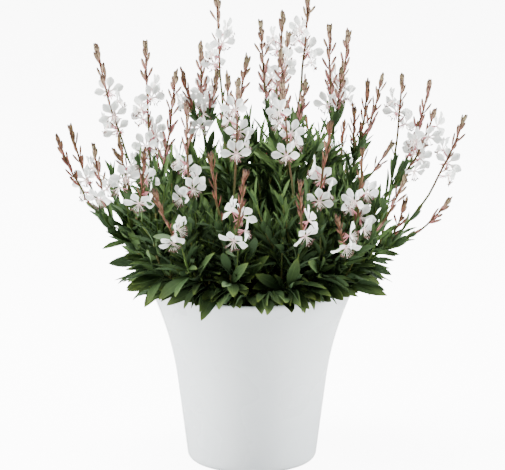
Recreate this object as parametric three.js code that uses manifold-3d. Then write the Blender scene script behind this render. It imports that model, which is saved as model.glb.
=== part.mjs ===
// A potted gaura: a white flared pot filled with soil, and a bushy flowering perennial that grows from it.
// Each spray of the plant is a green leafy stem that stands in its own hole in the soil, forked red-brown
// racemes with buds above it, and white four-petalled blooms on those. Millimetres, +Z up, the origin under
// the pot's middle on the face it stands on, and the side seen first towards -Y.

import * as THREE from "three";
import { mergeVertices } from "three/addons/utils/BufferGeometryUtils.js";
import Module from "manifold-3d";

const wasm = await Module();
wasm.setup();

// Driving dimensions
const pot = {
  height: 171.5,
  baseRadius: 60.6,
  taper: 0.126, // growth of the radius for each millimetre of height
  flareFrom: 78, // height at which the wall starts to flare
  flare: 0.0018, // growth of the radius for each square millimetre above that
  wall: 3.2,
  floor: 5,
  footRound: 7,
  sides: 24,
};
const soil = { top: 154, crown: 4, gap: 0.5 };
const stem = {
  footDepth: 9,
  footReach: 0.36, // share of the fork's distance from the middle
  base: 2,
  fork: 1.4,
  shoot: 1.2,
  hole: 3.4,
  stations: [0, 0.2, 0.4, 0.6, 0.8, 1], // where its rings stand, as shares of its length
  shootStations: [0, 0.35, 0.7, 1],
};
const raceme = { foot: 1, tip: 0.65, tipBud: 1.5, knot: 2, stations: [0, 0.3, 0.6, 0.92] };
const leafThickness = 0.9;
const bloom = {
  stalk: 8.5, // from the raceme to the bloom's middle
  spacing: 9,
  turn: 84, // from one bloom to the next, in degrees round the raceme
  petal: 13,
  petalWidth: 9,
  petalAngles: [-84, -29, 29, 84], // degrees from upright, seen from the front
  stamens: 176, // the bundle of stamens hangs a little aside
  stamen: 13,
  throat: 2,
  thickness: 0.85,
  cup: 0.006, // how far a petal bends forwards for each square millimetre of reach
};
const clearance = 0.35; // between neighbouring pieces
const shortestEdge = 0.02; // shorter ones, where pieces cross, are closed up
const goldenTurn = 137.5;

// The sprays, by hand from the real plant: where the leafy stem forks, and for each raceme its tip, its
// number of blooms and how far along it they are centred. The first side seen is towards -Y.
const sprays = [
  { fork: [-124, -8, 217], racemes: [[-182, -14, 318, 0], [-172, 20, 322, 3, 0.5], [-146, -44, 316, 0]] },
  { fork: [-92, 20, 238], racemes: [[-146, 8, 401, 5, 0.6], [-101, 56, 397, 8, 0.52], [-70, 4, 378, 0]] },
  { fork: [-46, 52, 306], racemes: [[-49, 72, 392, 0], [-66, 34, 370, 0], [-32, 42, 372, 0]] },
  { fork: [-24, 0, 300], racemes: [[-33, 16, 449, 4, 0.64], [-4, 8, 390, 0], [-22, -20, 376, 0]] },
  { fork: [17, 66, 298], racemes: [[30, 84, 422, 6, 0.56], [8, 48, 418, 0], [36, 112, 396, 0]] },
  { fork: [38, 6, 304], racemes: [[53, 16, 449, 4, 0.64], [26, 4, 396, 0], [50, -18, 372, 0]] },
  { fork: [76, 38, 306], racemes: [[72, 40, 415, 0], [92, 68, 406, 3, 0.42], [84, 12, 380, 0]] },
  { fork: [95, 20, 278], racemes: [[109, 8, 366, 0], [124, 56, 364, 0], [94, -22, 346, 0]] },
  { fork: [128, 10, 254], racemes: [[142, 40, 368, 3, 0.66], [168, 26, 364, 0], [170, -16, 342, 6, 0.56]] },
  { fork: [120, -24, 206], racemes: [[199, -6, 335, 3, 0.66], [184, -36, 260, 0], [141, -62, 266, 0]] },
  { fork: [-54, -66, 208], racemes: [[-88, -116, 286, 2, 0.4], [-60, -54, 358, 5, 0.52]] },
  { fork: [-104, -46, 240], racemes: [[-122, -48, 322, 3, 0.52], [-97, -78, 316, 0]] },
  { fork: [-20, -68, 210], racemes: [[-38, -76, 314, 0], [-6, -124, 306, 4, 0.4], [-12, -34, 376, 5, 0.7]] },
  { fork: [46, -66, 212], racemes: [[43, -124, 296, 0], [72, -62, 342, 4, 0.52], [28, -34, 372, 5, 0.7]] },
  { fork: [90, -62, 208], racemes: [[101, -70, 318, 5, 0.44], [76, -122, 262, 2, 0.5], [142, -64, 290, 0]] },
  { fork: [-80, 88, 226], racemes: [[-98, 118, 306, 3, 0.5], [-54, 128, 312, 0], [-134, 84, 284, 0]] },
  { fork: [4, 108, 236], racemes: [[-26, 142, 318, 3, 0.5], [28, 134, 330, 0], [4, 166, 284, 0]] },
  { fork: [80, 90, 226], racemes: [[90, 124, 306, 3, 0.5], [136, 84, 292, 0], [52, 140, 308, 0]] },
];

// Seeded draws, the same on every run
function draws(seed) {
  let state = (seed * 7919 + 17) % 4294967296;
  return (low, high) => {
    state = (state * 1664525 + 1013904223) % 4294967296;
    return low + ((high - low) * state) / 4294967296;
  };
}

const up = new THREE.Vector3(0, 0, 1);
const radians = (angle) => (angle * Math.PI) / 180;
const degrees = (angle) => (angle * 180) / Math.PI;
const mix = (a, b, t) => a + (b - a) * t;
const along = (point, direction, distance) => point.clone().addScaledVector(direction, distance);
const azimuthOf = (point) => degrees(Math.atan2(point.y, point.x));

// The direction of an azimuth, squared to an axis
function outward(axis, azimuth) {
  const level = new THREE.Vector3(Math.cos(radians(azimuth)), Math.sin(radians(azimuth)), 0);
  return level.addScaledVector(axis, -level.dot(axis)).normalize();
}

// The azimuth of the first corner of all rings round a curve, square to the way it leans
function bearingOf(curve) {
  const chord = curve.getPoint(1).sub(curve.getPoint(0));
  return Math.abs(chord.x) > Math.abs(chord.y) ? 90 : 0;
}

// A point on the straight pieces that a curve is built from, between the stations of its rings
function onRod(curve, stations, t) {
  const k = Math.max(1, stations.findIndex((station) => station >= t));
  const share = (t - stations[k - 1]) / (stations[k] - stations[k - 1]);
  return curve.getPoint(stations[k - 1]).lerp(curve.getPoint(stations[k]), share);
}

// Leaves spiral up a stem or a shoot, and get smaller and steeper towards its tip. Each turns aside a
// little to where it has the most room.
function leavesOn(curve, stations, { count, from, to, lengths, pitches }, taken, draw) {
  const turn = draw(0, 360);
  return Array.from({ length: count }, (_, i) => {
    const share = i / (count - 1);
    const t = mix(from, to, share);
    const axis = curve.getTangent(t);
    const pitch = radians(mix(...pitches, share) + draw(-9, 9));
    const length = mix(...lengths, share) * draw(0.88, 1.12);
    const size = { length, width: length * draw(0.24, 0.29), arch: draw(0.06, 0.24) };
    const root = onRod(curve, stations, t);
    const choices = [0, 30, -30, 60, -60].map((aside) => {
      const side = outward(axis, turn + goldenTurn * i + aside);
      const direction = axis.clone().multiplyScalar(Math.cos(pitch)).addScaledVector(side, Math.sin(pitch));
      const leaf = { root, axis, direction, ...size };
      leaf.spine = [0.35, 0.55, 0.75, 1].map((s) => onSpine(leaf, s));
      leaf.room = Math.min(...leaf.spine.flatMap((point) => taken.map((other) => other.distanceTo(point))));
      return leaf;
    });
    const leaf = choices.reduce((best, other) => (other.room > best.room ? other : best));
    taken.push(...leaf.spine);
    return leaf;
  });
}

// A point on a leaf's midline, which arches back from the stem
function onSpine({ root, axis, direction, length, arch }, s) {
  const across = direction.clone().cross(axis).normalize();
  const face = across.cross(direction);
  return along(along(root, direction, length * s), face, -arch * length * s * s);
}

// A leafy stem leans out of the crown. It has a shoot halfway, and a low one over the rim unless it is
// central.
function growStem(fork, lowHeading, draw) {
  const azimuth = azimuthOf(fork);
  const reach = Math.hypot(fork.x, fork.y);
  const level = outward(up, azimuth);
  const foot = level.clone().multiplyScalar(stem.footReach * reach).setZ(soil.top + 2 - stem.footDepth);
  const bend = level.clone().multiplyScalar(0.64 * reach).setZ(mix(foot.z, fork.z, 0.42));
  const main = new THREE.QuadraticBezierCurve3(foot, bend, fork);

  const sideStart = onRod(main, stem.stations, 0.3);
  const sideHeading = outward(up, azimuth + draw(-50, 50));
  const sideOut = draw(24, 46);
  const sideRise = draw(64, 100);
  const sideKnee = along(along(sideStart, sideHeading, sideOut * 0.66), up, sideRise * 0.36);
  const sideEnd = along(along(sideStart, sideHeading, sideOut), up, sideRise);
  const shoots = [new THREE.QuadraticBezierCurve3(sideStart, sideKnee, sideEnd)];

  const lowStart = onRod(main, stem.stations, 0.2);
  const lowEnd = outward(up, lowHeading).multiplyScalar(draw(84, 106)).setZ(draw(184, 198));
  const lowKnee = lowStart.clone().lerp(lowEnd, 0.55).setZ(mix(lowStart.z, lowEnd.z, 0.72));
  if (reach > 50) shoots.push(new THREE.QuadraticBezierCurve3(lowStart, lowKnee, lowEnd));

  return { main, shoots };
}

// The leaves of one spray, on its stem, its shoot halfway and its low one
function growLeaves({ main, shoots }, taken, draw) {
  const habits = [
    { count: 9, from: 0.17, to: 0.96, lengths: [46, 28], pitches: [74, 30] },
    { count: 6, from: 0.3, to: 0.96, lengths: [42, 28], pitches: [54, 24] },
    { count: 5, from: 0.3, to: 0.95, lengths: [46, 44], pitches: [74, 24] },
  ];
  return [main, ...shoots].flatMap((curve, k) =>
    leavesOn(curve, k ? stem.shootStations : stem.stations, habits[k], taken, draw),
  );
}

// The racemes of a spray bow outwards from a knot above its stem, then rise
function growRacemes(racemes, knot) {
  return racemes.map(([x, y, z, blooms, bloomsAt]) => {
    const tip = new THREE.Vector3(x, y, z);
    const chord = tip.clone().sub(knot);
    const knee = knot.clone().add(new THREE.Vector3(0.66 * chord.x, 0.66 * chord.y, 0.36 * chord.z));
    const curve = new THREE.QuadraticBezierCurve3(knot, knee, tip);
    const path = Array.from({ length: 13 }, (_, i) => curve.getPoint(i / 12));
    return { curve, path, length: chord.length(), blooms, bloomsAt, flowers: [] };
  });
}

// Blooms wind up the raceme, each just holding on to the last
function flowersOn(spike, bearing, jitter) {
  return Array.from({ length: spike.blooms }, (_, i) => {
    const t = spike.bloomsAt + ((i - (spike.blooms - 1) / 2) * bloom.spacing) / spike.length;
    const axis = spike.curve.getTangent(t);
    const facing = outward(axis, bearing + bloom.turn * i + jitter[i]);
    const root = onRod(spike.curve, raceme.stations, t);
    const middle = along(along(root, facing, bloom.stalk * 0.86), axis, bloom.stalk * 0.5);
    return { t, root, axis, facing, middle };
  });
}

// The bearing that keeps a raceme's blooms the clearest of all other racemes, and rather on the outer side
function turnFlowers(spike, spikes, draw) {
  const jitter = Array.from({ length: spike.blooms }, () => draw(-1.5, 1.5));
  const start = draw(0, 30);
  const out = azimuthOf(spike.path[6]);
  let best = -Infinity;
  for (let step = 0; step < 12; step++) {
    const flowers = flowersOn(spike, start + 30 * step, jitter);
    let room = 30;
    for (const { middle, axis } of flowers) {
      const heart = along(middle, axis, 4);
      for (const other of spikes) {
        if (other === spike) continue;
        for (const point of other.path) room = Math.min(room, point.distanceTo(heart) - 12);
        for (const flower of other.flowers) room = Math.min(room, flower.middle.distanceTo(middle) - 24);
      }
    }
    const score = room + 6 * Math.cos(radians(start + 30 * step - out));
    if (score > best) {
      best = score;
      spike.flowers = flowers;
    }
  }
}

// Buds stand off the three faces of a raceme in turn, from its blooms to its tip
function budsOn(spike, draw) {
  const last = spike.flowers.at(-1);
  const from = last ? last.t + 8 / spike.length : 0.36;
  const turn = bearingOf(spike.curve) + 60 + 120 * Math.floor(draw(0, 3));
  const count = last ? 3 : 4;
  return Array.from({ length: count }, (_, i) => {
    const share = i / (count - 1);
    const t = mix(from, 0.9, Math.pow(share, 0.85));
    const axis = spike.curve.getTangent(t);
    const pitch = radians(mix(24, 30, share));
    const side = outward(axis, turn + 120 * i + draw(-8, 8));
    return {
      root: onRod(spike.curve, raceme.stations, t),
      direction: axis.clone().multiplyScalar(Math.cos(pitch)).addScaledVector(side, Math.sin(pitch)),
      length: mix(12.5, 9.5, share) * draw(0.92, 1.08),
      girth: mix(1.4, 1.6, share),
    };
  });
}

function growPlant() {
  const forks = sprays.map(({ fork }) => new THREE.Vector3(...fork));
  const ranked = forks.map(azimuthOf).sort((a, b) => a - b);
  const plant = sprays.map(({ racemes }, index) => {
    const draw = draws(index + 1);
    const azimuth = azimuthOf(forks[index]);
    const even = -160 + (360 / sprays.length) * ranked.indexOf(azimuth);
    const grown = growStem(forks[index], mix(azimuth, even, 0.5), draw);
    const tangent = grown.main.getTangent(1);
    const knot = along(forks[index], tangent, raceme.knot + clearance);
    return { ...grown, tangent, knot, spikes: growRacemes(racemes, knot), draw };
  });
  const spikes = plant.flatMap((spray) => spray.spikes);
  for (const spray of plant)
    for (const spike of spray.spikes) {
      if (spike.blooms) turnFlowers(spike, spikes, spray.draw);
      spike.buds = budsOn(spike, spray.draw);
    }

  // Leaves keep away from racemes, stems, shoots, blooms and each other
  const taken = spikes.flatMap(({ path, flowers }) => [...path, ...flowers.map(({ middle }) => middle)]);
  for (const { main, shoots } of plant)
    for (const curve of [main, ...shoots])
      for (let i = 1; i < 12; i++) taken.push(curve.getPoint(i / 12));
  for (const spray of plant) spray.leaves = growLeaves(spray, taken, spray.draw);
  return plant;
}

// A closed body through rings of points. The first and the last ring may be a single point.
function loft(rings) {
  const index = [];
  const starts = [];
  let count = 0;
  for (const ring of rings) {
    starts.push(count);
    count += ring.length;
  }
  for (let i = 0; i < rings.length - 1; i++) {
    const [low, high] = [rings[i].length, rings[i + 1].length];
    const sides = Math.max(low, high);
    for (let k = 0; k < sides; k++) {
      const next = (k + 1) % sides;
      if (low > 1) index.push(starts[i] + k, starts[i] + next, starts[i + 1] + (k % high));
      if (high > 1) index.push(starts[i] + (next % low), starts[i + 1] + next, starts[i + 1] + k);
    }
  }
  const end = starts.at(-1);
  for (let k = 1; k < rings[0].length - 1; k++) index.push(0, k + 1, k);
  for (let k = 1; k < rings.at(-1).length - 1; k++) index.push(end, end + k, end + k + 1);
  return new THREE.BufferGeometry().setFromPoints(rings.flat()).setIndex(index);
}

function ringAt(point, axis, radius, sides, bearing) {
  const first = outward(axis, bearing);
  const second = axis.clone().cross(first);
  return Array.from({ length: sides }, (_, k) => {
    const angle = (2 * Math.PI * k) / sides;
    return along(along(point, first, radius * Math.cos(angle)), second, radius * Math.sin(angle));
  });
}

// A tapered rod along a curve, with a ring at each of its stations
function rodRings(curve, stations, girths, sides) {
  const bearing = bearingOf(curve);
  return stations.map((t) =>
    ringAt(curve.getPoint(t), curve.getTangent(t), mix(...girths, t / stations.at(-1)), sides, bearing),
  );
}

// A raceme's axis ends in the tight buds of its tip
function spikeShape(curve) {
  const axis = rodRings(curve, raceme.stations, [raceme.foot, raceme.tip], 3);
  const tip = ringAt(curve.getPoint(0.955), curve.getTangent(0.955), raceme.tipBud, 3, bearingOf(curve));
  return loft([...axis, tip, [curve.getPoint(1)]]);
}

function knotShape(knot, tangent) {
  const waist = ringAt(knot, tangent, raceme.knot, 4, 0);
  return loft([[along(knot, tangent, -raceme.knot)], waist, [along(knot, tangent, raceme.knot)]]);
}

// A bud is a spindle, fullest past its middle
function budShape({ root, direction, length, girth }) {
  const fullest = along(root, direction, length * 0.6);
  const waist = ringAt(fullest, direction, girth, 3, azimuthOf(direction) + 90);
  return loft([[root], waist, [along(root, direction, length)]]);
}

// A blade with a raised midrib, arched back from the stem. A short one has a single section.
function leafShape(leaf) {
  const { root, axis, direction, length, width } = leaf;
  const across = direction.clone().cross(axis).normalize();
  const face = across.clone().cross(direction);
  const spine = (s) => onSpine(leaf, s);
  const section = (s, share) => {
    const middle = spine(s);
    return [
      along(middle, across, -width * share),
      along(middle, face, leafThickness),
      along(middle, across, width * share),
    ];
  };
  const sections = length < 39 ? [section(0.5, 0.5)] : [section(0.34, 0.44), section(0.66, 0.46)];
  return loft([[root], ...sections, [spine(1)]]);
}

// A bloom in one skin: a tube that narrows to the raceme, petals fanned round the top, stamens hanging
// below
function bloomShape({ root, middle, axis, facing }) {
  const side = axis.clone().cross(facing);
  const points = [along(root, middle.clone().sub(root).normalize(), raceme.foot + clearance + 0.2)];
  const index = [];
  const add = (angle, radius, off) => {
    const lift = along(middle, facing, off + bloom.cup * radius * radius);
    const [high, wide] = [radius * Math.cos(radians(angle)), radius * Math.sin(radians(angle))];
    return points.push(along(along(lift, axis, high), side, wide)) - 1;
  };
  const foot = 0;
  const front = add(0, 0, bloom.thickness);
  const arms = [...bloom.petalAngles, bloom.stamens];
  const notches = arms.map((angle, i) => {
    const before = i ? arms[i - 1] : arms.at(-1) - 360;
    return add((angle + before) / 2, bloom.throat, 0);
  });
  const wide = degrees(Math.atan(bloom.petalWidth / 2 / (bloom.petal * 0.72)));
  arms.forEach((angle, i) => {
    const [start, end] = [notches[i], notches[(i + 1) % arms.length]];
    index.push(start, end, foot);
    if (i >= bloom.petalAngles.length) {
      const tip = add(angle, bloom.stamen, 0);
      index.push(tip, start, front, end, tip, front, start, tip, end);
      return;
    }
    const outline = [start, add(angle - wide, bloom.petal * 0.82, 0), add(angle, bloom.petal, 0)];
    outline.push(add(angle + wide, bloom.petal * 0.82, 0), end);
    const ridge = add(angle, bloom.petal * 0.6, bloom.thickness);
    for (let k = 0; k < 4; k++) index.push(outline[k + 1], outline[k], ridge);
    index.push(start, front, ridge, front, end, ridge);
    index.push(start, outline[1], outline[2], start, outline[2], end, end, outline[2], outline[3]);
  });
  return new THREE.BufferGeometry().setFromPoints(points).setIndex(index);
}

// The pot and its soil
const potRadius = (z) => pot.baseRadius + pot.taper * z + pot.flare * Math.max(0, z - pot.flareFrom) ** 2;
const profileAt = (heights, inset) => heights.map((z) => new THREE.Vector2(potRadius(z) - inset, z));

function potShape() {
  const foot = [
    new THREE.Vector2(0, 0),
    new THREE.Vector2(pot.baseRadius - pot.footRound, 0),
    new THREE.Vector2(pot.baseRadius - 1.6, 2.4),
  ];
  const outside = profileAt([8, 78, 104, 128, 150, pot.height - 1.2], 0);
  const rim = [...profileAt([pot.height], 1.2), ...profileAt([pot.height - 0.6], pot.wall)];
  const inside = profileAt([soil.top - 4, 116, 78, pot.floor], pot.wall);
  const profile = [...foot, ...outside, ...rim, ...inside, new THREE.Vector2(0, pot.floor)];
  return new THREE.LatheGeometry(profile, pot.sides).rotateX(Math.PI / 2);
}

// The soil fills the pot and rises a little towards the plant's crown
function soilShape() {
  const profile = [
    new THREE.Vector2(0, pot.floor + soil.gap),
    ...profileAt([pot.floor + soil.gap, 78, 116, soil.top - 4], pot.wall + soil.gap),
    new THREE.Vector2(62, soil.top - 1),
    new THREE.Vector2(28, soil.top + soil.crown * 0.8),
    new THREE.Vector2(0, soil.top + soil.crown),
  ];
  return new THREE.LatheGeometry(profile, pot.sides).rotateX(Math.PI / 2);
}

// A plain hole round a stem's foot
function holeShape(main) {
  const axis = main.getTangent(0);
  const bearing = azimuthOf(main.getPoint(1));
  return loft([-0.05, 0.28].map((t) => ringAt(main.getPoint(t), axis, stem.hole, 4, bearing)));
}

// Solids
function solidOf(geometry) {
  const bare = new THREE.BufferGeometry();
  bare.setAttribute("position", geometry.toNonIndexed().getAttribute("position"));
  const merged = mergeVertices(bare, 1e-4);
  const mesh = new wasm.Mesh({
    numProp: 3,
    vertProperties: merged.attributes.position.array,
    triVerts: new Uint32Array(merged.index.array),
  });
  return new wasm.Manifold(mesh);
}

function geometryOf(solid) {
  const mesh = solid.getMesh();
  const points = new Float32Array(mesh.numVert * 3);
  for (let i = 0; i < mesh.numVert; i++)
    points.set(mesh.vertProperties.subarray(i * mesh.numProp, i * mesh.numProp + 3), i * 3);
  return new THREE.BufferGeometry()
    .setAttribute("position", new THREE.BufferAttribute(points, 3))
    .setIndex(new THREE.BufferAttribute(mesh.triVerts, 1))
    .toNonIndexed();
}

// The pieces of each node. A piece goes in when it is clear of the pieces of all other nodes.
const nodes = new Map();

function isClear(solid, box, other) {
  for (const axis of [0, 1, 2])
    if (
      box.min[axis] > other.box.max[axis] + clearance ||
      box.max[axis] < other.box.min[axis] - clearance
    )
      return true;
  return solid.minGap(other.solid, clearance) >= clearance * 0.98;
}

function place(node, solid) {
  const box = solid.boundingBox();
  for (const [name, pieces] of nodes)
    if (name !== node && !pieces.every((piece) => isClear(solid, box, piece))) return false;
  if (!nodes.has(node)) nodes.set(node, []);
  nodes.get(node).push({ solid, box });
  return true;
}

const numbered = (name, index) => `${name}_${String(index + 1).padStart(2, "0")}`;
const plant = growPlant();

const holes = plant.map(({ main }) => solidOf(holeShape(main)));
place("pot", solidOf(potShape()));
place("soil", holes.reduce((ground, hole) => ground.subtract(hole), solidOf(soilShape())));

// Large pieces go in first, and small ones give way to them
plant.forEach(({ main, knot, tangent, spikes }, i) => {
  place(numbered("leafy_stem", i), solidOf(loft(rodRings(main, stem.stations, [stem.base, stem.fork], 3))));
  place(numbered("racemes", i), solidOf(knotShape(knot, tangent)));
  for (const { curve } of spikes) place(numbered("racemes", i), solidOf(spikeShape(curve)));
});
const blooming = plant.flatMap(({ spikes }) => spikes.filter(({ blooms }) => blooms));
blooming.forEach(({ flowers }, i) => {
  for (const flower of flowers) place(numbered("blooms", i), solidOf(bloomShape(flower)));
});
plant.forEach(({ shoots, spikes }, i) => {
  for (const { buds } of spikes)
    for (const bud of buds) place(numbered("racemes", i), solidOf(budShape(bud)));
  for (const curve of shoots) {
    const rings = rodRings(curve, stem.shootStations, [stem.shoot + 0.3, stem.shoot], 3);
    place(numbered("leafy_stem", i), solidOf(loft(rings)));
  }
});
plant.forEach(({ leaves }, i) => {
  for (const leaf of leaves) place(numbered("leafy_stem", i), solidOf(leafShape(leaf)));
});

const finishes = {
  pot: { color: 0xeceeee, roughness: 0.28 },
  soil: { color: 0x2c211a, roughness: 0.95 },
  leafy_stem: { color: 0x3c6a2a, roughness: 0.55 },
  racemes: { color: 0x9c5a44, roughness: 0.65 },
  blooms: { color: 0xf3f3f4, roughness: 0.6 },
};

const model = new THREE.Group();
for (const [name, pieces] of nodes) {
  const joined = pieces.map(({ solid }) => solid).reduce((whole, solid) => whole.add(solid));
  const material = new THREE.MeshStandardMaterial(finishes[name.replace(/_\d+$/, "")]);
  const mesh = new THREE.Mesh(geometryOf(joined.asOriginal().simplify(shortestEdge)), material);
  mesh.name = name;
  model.add(mesh);
}

export default model;
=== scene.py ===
import math

import bmesh
import bpy
import numpy as np
from mathutils import Matrix, Vector, noise


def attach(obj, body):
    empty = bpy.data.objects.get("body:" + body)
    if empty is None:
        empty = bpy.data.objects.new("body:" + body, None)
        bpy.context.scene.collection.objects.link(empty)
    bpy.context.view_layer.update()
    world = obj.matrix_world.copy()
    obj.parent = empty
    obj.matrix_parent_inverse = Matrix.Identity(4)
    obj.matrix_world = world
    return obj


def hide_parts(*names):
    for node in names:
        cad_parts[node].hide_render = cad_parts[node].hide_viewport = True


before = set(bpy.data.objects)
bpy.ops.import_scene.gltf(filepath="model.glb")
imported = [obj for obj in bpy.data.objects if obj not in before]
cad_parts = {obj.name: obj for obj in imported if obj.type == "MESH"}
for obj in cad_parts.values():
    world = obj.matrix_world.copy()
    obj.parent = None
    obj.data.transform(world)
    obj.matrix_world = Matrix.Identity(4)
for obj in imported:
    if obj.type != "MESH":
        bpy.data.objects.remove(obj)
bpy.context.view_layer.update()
print("frame loaded:", len(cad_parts), "nodes")

# Lengths are in millimetres until a piece is finished
metresPerMillimetre = 0.001
up = np.array((0.0, 0.0, 1.0))
goldenTurn = 137.5
seeds = {
    "leafyStems": 101, "racemes": 301, "bloomShapes": 500,
    "soil": 700, "blooms": 901, "extraBlooms": 1301,
}


# Small helpers for numbers and directions

def makeDraw(seed):
    # the same row of random numbers for the same seed
    state = (seed * 7919 + 17) % 4294967296

    def draw(low, high):
        nonlocal state
        state = (state * 1664525 + 1013904223) % 4294967296
        return low + (high - low) * state / 4294967296

    return draw


def mix(low, high, share):
    return low + (high - low) * share


def evenShares(count):
    return [i / (count - 1) for i in range(count)]


def unit(vector):
    return vector / np.linalg.norm(vector)


def azimuthOf(point):
    return math.degrees(math.atan2(point[1], point[0]))


def outward(axis, azimuth):
    # the direction of an azimuth, squared to an axis
    angle = math.radians(azimuth)
    level = np.array((math.cos(angle), math.sin(angle), 0.0))
    return unit(level - axis * level.dot(axis))


def spiral(curve, first, last, shares, turn, waver=0.0, draw=None):
    # places up a curve, each a golden turn further round it than the one below
    for i, share in enumerate(shares):
        t = mix(first, last, share)
        axis = curve.heading(t)
        aside = draw(-waver, waver) if waver else 0
        yield share, t, axis, outward(axis, turn + goldenTurn * i + aside)


class Bow:
    # a curve with one bend, as stems, shoots and racemes grow
    def __init__(self, start, knee, end):
        self.start = np.array(start, float)
        self.knee = np.array(knee, float)
        self.end = np.array(end, float)
        self.length = np.linalg.norm(self.end - self.start)

    def at(self, t):
        return (1 - t) ** 2 * self.start + 2 * t * (1 - t) * self.knee + t * t * self.end

    def heading(self, t):
        return unit((1 - t) * (self.knee - self.start) + t * (self.end - self.knee))

    def upTo(self, t):
        return Bow(self.start, mix(self.start, self.knee, t), self.at(t))

    def onRod(self, stations, t):
        # on the straight lengths between a coarse rod's rings
        k = max(1, next((i for i, station in enumerate(stations) if station >= t), 1))
        share = (t - stations[k - 1]) / (stations[k] - stations[k - 1])
        return mix(self.at(stations[k - 1]), self.at(stations[k]), share)


# How the plant grows: the same layout as the solids

plantHabit = {
    "soilTop": 154,
    "footDepth": 9,
    "footReach": 0.36,
    "stemStations": [0, 0.2, 0.4, 0.6, 0.8, 1],
    "shootStations": [0, 0.35, 0.7, 1],
    "racemeStations": [0, 0.3, 0.6, 0.92],
    "knotRise": 2.35,
    "sideShoot": {"at": 0.3, "turn": 50, "out": (24, 46), "rise": (64, 100)},
    "lowShoot": {"at": 0.2, "reach": (84, 106), "height": (184, 198), "onlyBeyond": 50},
    "pathSteps": 12,
    "bloomStalk": 8.5,
    "stalkOut": 0.86,
    "stalkUp": 0.5,
    "bloomSpacing": 9,
    "bloomTurn": 84,
}

# for each spray its fork, then each raceme's tip, number of blooms and how far along they are centred
sprays = [
    ((-124, -8, 217), [(-182, -14, 318, 0), (-172, 20, 322, 3, 0.5), (-146, -44, 316, 0)]),
    ((-92, 20, 238), [(-146, 8, 401, 5, 0.6), (-101, 56, 397, 8, 0.52), (-70, 4, 378, 0)]),
    ((-46, 52, 306), [(-49, 72, 392, 0), (-66, 34, 370, 0), (-32, 42, 372, 0)]),
    ((-24, 0, 300), [(-33, 16, 449, 4, 0.64), (-4, 8, 390, 0), (-22, -20, 376, 0)]),
    ((17, 66, 298), [(30, 84, 422, 6, 0.56), (8, 48, 418, 0), (36, 112, 396, 0)]),
    ((38, 6, 304), [(53, 16, 449, 4, 0.64), (26, 4, 396, 0), (50, -18, 372, 0)]),
    ((76, 38, 306), [(72, 40, 415, 0), (92, 68, 406, 3, 0.42), (84, 12, 380, 0)]),
    ((95, 20, 278), [(109, 8, 366, 0), (124, 56, 364, 0), (94, -22, 346, 0)]),
    ((128, 10, 254), [(142, 40, 368, 3, 0.66), (168, 26, 364, 0), (170, -16, 342, 6, 0.56)]),
    ((120, -24, 206), [(199, -6, 335, 3, 0.66), (184, -36, 260, 0), (141, -62, 266, 0)]),
    ((-54, -66, 208), [(-88, -116, 286, 2, 0.4), (-60, -54, 358, 5, 0.52)]),
    ((-104, -46, 240), [(-122, -48, 322, 3, 0.52), (-97, -78, 316, 0)]),
    ((-20, -68, 210), [(-38, -76, 314, 0), (-6, -124, 306, 4, 0.4), (-12, -34, 376, 5, 0.7)]),
    ((46, -66, 212), [(43, -124, 296, 0), (72, -62, 342, 4, 0.52), (28, -34, 372, 5, 0.7)]),
    ((90, -62, 208), [(101, -70, 318, 5, 0.44), (76, -122, 262, 2, 0.5), (142, -64, 290, 0)]),
    ((-80, 88, 226), [(-98, 118, 306, 3, 0.5), (-54, 128, 312, 0), (-134, 84, 284, 0)]),
    ((4, 108, 236), [(-26, 142, 318, 3, 0.5), (28, 134, 330, 0), (4, 166, 284, 0)]),
    ((80, 90, 226), [(90, 124, 306, 3, 0.5), (136, 84, 292, 0), (52, 140, 308, 0)]),
]


def growStem(fork, lowHeading, draw):
    azimuth = azimuthOf(fork)
    reach = math.hypot(fork[0], fork[1])
    level = outward(up, azimuth)
    foot = level * plantHabit["footReach"] * reach
    foot[2] = plantHabit["soilTop"] + 2 - plantHabit["footDepth"]
    bend = level * 0.64 * reach
    bend[2] = mix(foot[2], fork[2], 0.42)
    main = Bow(foot, bend, fork)

    form = plantHabit["sideShoot"]
    start = main.onRod(plantHabit["stemStations"], form["at"])
    heading = outward(up, azimuth + draw(-form["turn"], form["turn"]))
    shoots = [shootFrom(start, heading, draw(*form["out"]), draw(*form["rise"]))]

    form = plantHabit["lowShoot"]
    start = main.onRod(plantHabit["stemStations"], form["at"])
    end = outward(up, lowHeading) * draw(*form["reach"])
    end[2] = draw(*form["height"])
    knee = mix(start, end, 0.55)
    knee[2] = mix(start[2], end[2], 0.72)
    if reach > form["onlyBeyond"]:
        shoots.append(Bow(start, knee, end))
    return main, shoots


def shootFrom(start, heading, out, rise):
    knee = start + heading * out * 0.66 + up * rise * 0.36
    return Bow(start, knee, start + heading * out + up * rise)


def leafChoice(root, axis, side, degrees, size):
    pitch = math.radians(degrees)
    direction = axis * math.cos(pitch) + side * math.sin(pitch)
    across = unit(np.cross(direction, axis))
    face = np.cross(across, direction)
    return {"root": root, "direction": direction, "across": across, "face": face, **size}


def leafSize(length, widths, arches, draw):
    return {"length": length, "width": length * draw(*widths), "arch": draw(*arches)}


def onSpine(leaf, s):
    drop = leaf["face"] * leaf["arch"] * leaf["length"] * s * s
    return leaf["root"] + leaf["direction"] * leaf["length"] * s - drop


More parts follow.
